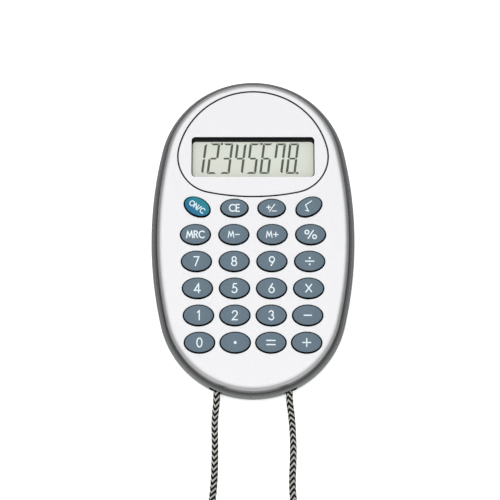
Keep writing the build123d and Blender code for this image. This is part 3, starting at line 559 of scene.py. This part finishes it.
def yarn_points(line, frames, along, way, index, half_width):
    """One yarn's rings of four points: wide along the cord's surface and thin across it."""
    ahead, across, up = frames
    turn = 2 * math.pi * (way * along / BRAID_LAY + index / YARNS_EACH_WAY)
    over = way * np.sin(CROSSINGS * turn)
    radius = BRAID_MIDDLE_R + BRAID_WAVE * np.clip(over * WAVE_STEEPNESS, -1, 1)
    place = turn + BRAID_TWIST + TWIST_WANDER * np.sin(2 * math.pi * along / TWIST_WANDER_LENGTH)
    out = np.cos(place)[:, None] * across + np.sin(place)[:, None] * up
    around = np.cos(place)[:, None] * up - np.sin(place)[:, None] * across
    lean = 2 * math.pi * BRAID_MIDDLE_R / BRAID_LAY
    wide = around - way * lean * ahead
    wide /= np.linalg.norm(wide, axis=1)[:, None]
    middle = line + out * radius[:, None]
    sides = [
        middle + wide * half_width,
        middle + out * YARN_HALF_THICKNESS,
        middle - wide * half_width,
        middle - out * YARN_HALF_THICKNESS,
    ]
    return np.stack(sides, axis=1).reshape(-1, 3)


def braid(name, line, frames, along, parity, half_width, material, core=False):
    """Every second yarn of the braid, in one colour, and the core under them if asked."""
    points, faces, total = [], [], 0
    for way in (-1, 1):
        for index in range(parity, YARNS_EACH_WAY, 2):
            points.append(yarn_points(line, frames, along, way, index, half_width))
            faces += tube_faces(len(line), 4, total)
            total += len(points[-1])
    if core:
        ahead, across, up = frames
        turns = 2 * math.pi * np.arange(CORE_SIDES) / CORE_SIDES
        rings = [line + CORE_R * (math.cos(a) * across + math.sin(a) * up) for a in turns]
        points.append(np.stack(rings, axis=1).reshape(-1, 3))
        faces += tube_faces(len(line), CORE_SIDES, total)
    return new_piece(name, np.concatenate(points) * MM, faces, material, CASE)


def make_cord():
    """The whole neck cord, from one pocket round the put-away coil to the other."""
    line, length = cord_line()
    frames = carried_frames(line)
    along = np.linspace(0, length, len(line))
    black = MATERIALS["cord_braid"]
    dark = braid("neck_cord", line, frames, along, 0, BLACK_HALF_WIDTH, black, core=True)
    pale = braid("neck_cord_pale_yarns", line, frames, along, 1, PALE_HALF_WIDTH, PALE_YARN)
    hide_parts("cord_left", "cord_right", "cord_coil")


make_cord()


# ---------------------------------------------------------------- flat strokes, for legends
def arc(x, y, rx, ry, start, end):
    """Points on an ellipse's arc, between two angles in degrees."""
    count = max(3, round(abs(end - start) / 18) + 1)
    angles = [math.radians(start + (end - start) * i / (count - 1)) for i in range(count)]
    return [(x + rx * math.cos(a), y + ry * math.sin(a)) for a in angles]


def dot(x, y, radius):
    """A small filled spot: one short turn of the stroke."""
    return arc(x, y, radius, radius, 90, 450)


# Each letter is its width and its strokes, for a height of 1.
LETTERS = {
    "0": (0.56, [arc(0.28, 0.5, 0.28, 0.5, 90, 450)]),
    "1": (0.2, [[(0.2, 0), (0.2, 1), (0, 0.82)]]),
    "2": (0.56, [arc(0.28, 0.73, 0.26, 0.27, 175, -38) + [(0.0, 0), (0.56, 0)]]),
    "3": (0.54, [arc(0.26, 0.76, 0.22, 0.24, 160, -90) + arc(0.26, 0.26, 0.27, 0.26, 90, -160)]),
    "4": (0.64, [[(0.46, 0), (0.46, 1), (0, 0.25), (0.64, 0.25)]]),
    "5": (0.54, [[(0.5, 1), (0.18, 1), (0.1, 0.55)] + arc(0.25, 0.31, 0.29, 0.31, 110, -150)]),
    "6": (0.56, [arc(0.28, 0.3, 0.28, 0.3, 150, 510), [(0.04, 0.45), (0.38, 1)]]),
    "7": (0.54, [[(0, 1), (0.54, 1), (0.16, 0)]]),
    "8": (0.54, [arc(0.27, 0.76, 0.22, 0.24, 270, 630), arc(0.27, 0.26, 0.27, 0.26, 90, 450)]),
    "9": (0.56, [arc(0.28, 0.7, 0.28, 0.3, -30, 330), [(0.52, 0.55), (0.18, 0)]]),
    "C": (0.74, [arc(0.46, 0.5, 0.46, 0.5, 48, 312)]),
    "E": (0.46, [[(0.46, 1), (0, 1), (0, 0), (0.46, 0)], [(0, 0.52), (0.42, 0.52)]]),
    "M": (0.9, [[(0, 0), (0.16, 1), (0.45, 0.2), (0.74, 1), (0.9, 0)]]),
    "N": (0.64, [[(0, 0), (0, 1), (0.64, 0), (0.64, 1)]]),
    "O": (0.92, [arc(0.46, 0.5, 0.46, 0.5, 90, 450)]),
    "R": (0.5, [[(0, 0), (0, 1), (0.2, 1)] + arc(0.2, 0.76, 0.26, 0.24, 80, -90) + [(0, 0.52)],
                [(0.22, 0.52), (0.5, 0)]]),
    "/": (0.36, [[(0, -0.04), (0.36, 1.04)]]),
    "+": (0.74, [[(0, 0.48), (0.74, 0.48)], [(0.37, 0.11), (0.37, 0.85)]]),
    "-": (0.66, [[(0, 0.48), (0.66, 0.48)]]),
}
# Signs that fill a key by themselves, in millimetres about its middle.
SIGNS = {
    "percent": [arc(-1.2, 0.75, 0.6, 0.62, 90, 450), arc(1.2, -0.75, 0.6, 0.62, 90, 450),
                [(-0.85, -1.3), (0.85, 1.3)]],
    "divide": [[(-1.3, 0), (1.3, 0)], dot(0, 1.02, 0.14), dot(0, -1.02, 0.14)],
    "multiply": [[(-0.92, -1.2), (0.92, 1.2)], [(-0.92, 1.2), (0.92, -1.2)]],
    "minus": [[(-1.15, 0), (1.15, 0)]],
    "plus": [[(-1.25, 0), (1.25, 0)], [(0, -1.25), (0, 1.25)]],
    "equals": [[(-1.32, 0.66), (1.32, 0.66)], [(-1.32, -0.66), (1.32, -0.66)]],
    "point": [dot(0, 0, 0.27)],
    "sign": [[(-1.55, 0.2), (-0.35, 0.2)], [(-0.95, -0.42), (-0.95, 0.82)],
             [(-0.7, -1.2), (0.95, 1.2)], [(0.2, -1.0), (1.5, -1.0)]],
    "root": [[(-1.5, -0.5), (-0.85, -1.15), (-0.7, 1.0), (1.7, 1.2)]],
}
# Words: what the key says, and its height in millimetres.
WORDS = {
    "on_clear": ("ON/C", 1.6), "clear_entry": ("CE", 2.2), "memory_recall": ("MRC", 2.15),
    "memory_minus": ("M-", 2.0), "memory_plus": ("M+", 2.0),
}
WORDS.update({digit: (digit, 2.85) for digit in "0123456789"})
TILTED = {"on_clear": -36.0, "root": 30.0}


def word_strokes(word, height):
    """A word's strokes in millimetres, about its middle."""
    strokes, x = [], 0.0
    for letter in word:
        width, shapes = LETTERS[letter]
        strokes += [[((x + px) * height, (py - 0.5) * height) for px, py in s] for s in shapes]
        x += width + LETTER_GAP
    middle = (x - LETTER_GAP) * height / 2
    return [[(px - middle, py) for px, py in stroke] for stroke in strokes]


def stroke_edges(stroke, half):
    """The two edges of a line of ink with round ends, as matching points across it."""
    line = [Vector(p) for p in stroke]
    fine = [line[0]]
    for a, b in zip(line, line[1:]):
        parts = max(1, math.ceil((b - a).length / STROKE_STEP))
        fine += [a.lerp(b, i / parts) for i in range(1, parts + 1)]
    closed = (fine[0] - fine[-1]).length < 1e-6 and len(fine) > 3
    rows = []
    for i, here in enumerate(fine):
        before = fine[i - 1] if i else (fine[-2] if closed else here)
        after = fine[i + 1] if i + 1 < len(fine) else (fine[1] if closed else here)
        first = (here - before).normalized() if (here - before).length else None
        second = (after - here).normalized() if (after - here).length else None
        ahead = ((first or second) + (second or first)).normalized()
        side = Vector((-ahead.y, ahead.x))
        square = max(SHARPEST_MITRE, abs(side.dot(Vector((-(first or second).y, (first or second).x)))))
        rows.append((here + side * half / square, here - side * half / square, ahead))
    edges = [(a, b) for a, b, _ in rows]
    if closed:
        return edges
    caps = [math.radians(a) for a in (80, 60, 40, 20)]
    head, tail = rows[0], rows[-1]
    start, end = [], []
    for a in caps:
        for row, where, way in ((head, start, -1), (tail, end, 1)):
            middle = (row[0] + row[1]) / 2 + row[2] * way * half * math.sin(a)
            side = (row[0] - row[1]).normalized() * half * math.cos(a)
            where.append((middle + side, middle - side))
    return start + edges + end[::-1]


def ink(strokes, half, lift, turn=0.0, centre=(0.0, 0.0)):
    """Points and faces of closed lines of ink. lift gives the surface's height at a place, in mm."""
    points, faces = [], []
    c, s = math.cos(math.radians(turn)), math.sin(math.radians(turn))
    for stroke in strokes:
        first = len(points)
        rows = stroke_edges(stroke, half)
        for a, b in rows:
            corners = []
            for p in (a, b):
                x, y = centre[0] + c * p.x - s * p.y, centre[1] + s * p.x + c * p.y
                corners.append((x, y, lift(x, y)))
            for x, y, z in corners:
                points.append((x, y, z + INK_RISE))
            for x, y, z in corners[::-1]:
                points.append((x, y, z - INK_SINK))
        for i in range(len(rows) - 1):
            here = first + 4 * i
            for k in range(4):
                n = (k + 1) % 4
                faces.append((here + k, here + 4 + k, here + 4 + n, here + n))
        last = first + 4 * (len(rows) - 1)
        faces.append((first, first + 1, first + 2, first + 3))
        faces.append((last + 3, last + 2, last + 1, last))
    return np.array(points) * MM, faces


def height_over(node):
    """A function that gives a CAD node's top at a place, in millimetres."""
    tree = BVHTree.FromObject(node, bpy.context.evaluated_depsgraph_get())

    def top(x, y):
        hit = tree.ray_cast(Vector((x * MM, y * MM, 1.0)), Vector((0, 0, -1)))[0]
        return hit.z / MM

    return top


def make_legends():
    """Printed digits and signs on every key, following its crown."""
    for name, node in frame["nodes"].items():
        if not name.startswith("key_"):
            continue
        label = name[4:]
        key_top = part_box(name)[1][2]
        top = [v.co for v in node.data.vertices if v.co.z > key_top - KEY_TOP_DEPTH * MM]
        centre = [sum(v[k] for v in top) / len(top) / MM for k in (0, 1)]
        centre[1] -= LEGEND_DROP
        strokes = word_strokes(*WORDS[label]) if label in WORDS else SIGNS[label]
        half = (FINE_STROKE if label in FINE_LEGENDS else STROKE) / 2
        points, faces = ink(strokes, half, height_over(node), TILTED.get(label, 0.0), centre)
        new_piece("legend_" + label, points, faces, INK, name, smooth=False)


make_legends()


# ---------------------------------------------------------------- display
SHOWN = ["bc", "abged", "abgcd", "fgbc", "afgcd", "afgecd", "fabc", "abcdefg"]


def mirrored(shape, across, along):
    """A shape turned over left to right, top to bottom, or both, where a way is -1."""
    return [(x * across, y * along) for x, y in shape]


def segment_shapes():
    """Each segment's outline for an upright digit about its middle, with mitred ends."""
    w, h, t, g, b = DIGIT_WIDTH / 2, DIGIT_HEIGHT / 2, UPRIGHT, SEGMENT_GAP, BAR
    top = [(-w + g, h), (w - g, h), (w - t - g, h - b), (-w + t + g, h - b)]
    right = [(w, h - g), (w, 2 * g), (w - t / 2, g), (w - t, b / 2 + g), (w - t, h - b - g)]
    middle = [(-w + t / 2 + g, 0), (-w + t + g, b / 2), (w - t - g, b / 2), (w - t / 2 - g, 0),
              (w - t - g, -b / 2), (-w + t + g, -b / 2)]
    return {
        "a": top, "b": right, "c": mirrored(right, 1, -1), "d": mirrored(top, 1, -1),
        "e": mirrored(right, -1, -1), "f": mirrored(right, -1, 1), "g": middle,
    }


def make_digits():
    """The display's figures, with the mark after the last and the marks that part the thousands."""
    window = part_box("display_lens")
    middle_y = (window[0][1] + window[1][1]) / 2 / MM
    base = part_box("lcd_front_film")[1][2] / MM
    shapes = segment_shapes()
    points, faces = [], []

    def plate(outline, x):
        """One closed flat figure of the display, slanted about the digits' middle."""
        ring = [(x + px + SLANT * py, middle_y + py) for px, py in outline]
        first, n = len(points), len(ring)
        for z in (base, base + SEGMENT_RISE):
            points.extend((px * MM, py * MM, z * MM) for px, py in ring)
        faces.append(tuple(range(first + n - 1, first - 1, -1)))
        faces.append(tuple(range(first + n, first + 2 * n)))
        for i in range(n):
            j = (i + 1) % n
            faces.append((first + i, first + j, first + n + j, first + n + i))

    for place, lit in enumerate(SHOWN):
        for segment in lit:
            plate(shapes[segment], FIRST_DIGIT_X + DIGIT_PITCH * place)
    half = DIGIT_HEIGHT / 2
    square = [(-MARK / 2, 0), (MARK / 2, 0), (MARK / 2, MARK), (-MARK / 2, MARK)]
    marks = [(7, -half - POINT_DROP)]
    marks += [(place, half - MARK + THOUSANDS_RISE) for place in (1, 4)]
    for place, y in marks:
        x = FIRST_DIGIT_X + DIGIT_PITCH * (place + 0.5)
        plate([(px, py + y) for px, py in square], x)
    new_piece("display_figures", points, faces, SEGMENTS, CASE, smooth=False)


make_digits()


def rounded_loop(left, right, foot, top, radius):
    """A rounded rectangle's points, seven to a corner, from its upper right corner round."""
    corners = [(right, top, 0), (left, top, 90), (left, foot, 180), (right, foot, 270)]
    loop = []
    for x, y, start in corners:
        middle_x = x - radius if x == right else x + radius
        middle_y = y - radius if y == top else y + radius
        for step in range(7):
            angle = math.radians(start + 15 * step)
            loop.append((middle_x + radius * math.cos(angle), middle_y + radius * math.sin(angle)))
    return loop


def make_shade_border():
    """A black sheet under the lens, widest along the top of the window: painted shade of the recess."""
    lens_low, lens_high = [[c / MM for c in corner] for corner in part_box("display_lens")]
    left, right = lens_low[0] + LENS_LAP, lens_high[0] - LENS_LAP
    foot, top = lens_low[1] + LENS_LAP, lens_high[1] - LENS_LAP
    outer = rounded_loop(
        left - BORDER_OUT, right + BORDER_OUT, foot - BORDER_OUT, top + BORDER_OUT, BORDER_OUTER_R
    )
    inner = rounded_loop(
        left + BORDER_SIDE, right - BORDER_SIDE, foot + BORDER_FOOT, top - BORDER_TOP, BORDER_CORNER_R
    )
    n = len(inner)
    high_z = lens_low[2] - BORDER_GAP
    low_z = high_z - BORDER_THICKNESS
    rings = [(outer, high_z), (inner, high_z), (inner, low_z), (outer, low_z)]
    points = [(x * MM, y * MM, z * MM) for loop, z in rings for x, y in loop]
    faces = []
    for ring in range(4):
        for i in range(n):
            j = (i + 1) % n
            here, ahead = ring * n, (ring + 1) % 4 * n
            faces.append((here + i, here + j, ahead + j, ahead + i))
    new_piece("display_shade_border", points, faces, SHADE_BORDER, CASE, smooth=False)


make_shade_border()


# ---------------------------------------------------------------- floor and light
def make_floor():
    """A plain pale floor that glows a little, so shadows on it stay faint. It lights nothing."""
    size = FLOOR_HALF_WIDTH * MM
    level = cad_low.z - FLOOR_GAP * MM
    mesh = bpy.data.meshes.new("floor")
    corners = [(-size, -size), (size, -size), (size, size), (-size, size)]
    mesh.from_pydata([(x, y, level) for x, y in corners], [], [(0, 1, 2, 3)])
    floor = bpy.data.objects.new("floor", mesh)
    bpy.context.collection.objects.link(floor)
    white = linear(245, 245, 245)
    s = Shader("floor_white", white, 0.9, Emission_Color=white, Emission_Strength=FLOOR_GLOW)
    mesh.materials.append(s.material)
    floor.visible_glossy = False
    floor.visible_diffuse = False


def sky_ramp(nodes, stops):
    """Brightness against height, from 0 straight down to 1 straight up."""
    ramp = nodes.new("ShaderNodeValToRGB")
    elements = ramp.color_ramp.elements
    while len(elements) < len(stops):
        elements.new(0.5)
    for element, (place, value) in zip(elements, stops):
        element.position = place
        element.color = (value, value, value, 1)
    return ramp


def make_light():
    """A bright zenith over a dark horizon, a paler side behind the cord's end, and one soft lamp."""
    world = bpy.data.worlds.new("studio")
    world.use_nodes = True
    nodes, links = world.node_tree.nodes, world.node_tree.links
    place = nodes.new("ShaderNodeTexCoord")
    axes = nodes.new("ShaderNodeSeparateXYZ")
    links.new(place.outputs["Generated"], axes.inputs["Vector"])
    around = sky_ramp(nodes, SKY_AROUND)
    near = sky_ramp(nodes, SKY_NEAR)
    height = nodes.new("ShaderNodeMath")
    height.operation = "MULTIPLY_ADD"
    height.inputs[1].default_value = 0.5
    height.inputs[2].default_value = 0.5
    links.new(axes.outputs["Z"], height.inputs[0])
    side = nodes.new("ShaderNodeMath")
    side.operation = "MULTIPLY"
    side.use_clamp = True
    side.inputs[1].default_value = -NEAR_SKY_REACH
    links.new(axes.outputs["Y"], side.inputs[0])
    blend = nodes.new("ShaderNodeMix")
    blend.data_type = "RGBA"
    colours = [i for i in blend.inputs if i.type == "RGBA"]
    for ramp, socket in ((around, colours[0]), (near, colours[1])):
        links.new(height.outputs["Value"], ramp.inputs["Fac"])
        links.new(ramp.outputs["Color"], socket)
    links.new(side.outputs["Value"], blend.inputs[0])
    links.new(next(o for o in blend.outputs if o.type == "RGBA"), nodes["Background"].inputs["Color"])
    nodes["Background"].inputs["Strength"].default_value = 1.0
    bpy.context.scene.world = world
    lamp = bpy.data.lights.new("soft_top", "AREA")
    lamp.shape = "DISK"
    lamp.size = LAMP_WIDTH * MM
    lamp.energy = LAMP_WATTS
    holder = bpy.data.objects.new("soft_top", lamp)
    holder.location = Vector(LAMP_PLACE) * MM
    holder.rotation_mode = "QUATERNION"
    holder.rotation_quaternion = (-holder.location).to_track_quat("-Z", "Y")
    holder.visible_glossy = False
    bpy.context.collection.objects.link(holder)
    bpy.context.scene.view_settings.view_transform = "Standard"


make_floor()
make_light()
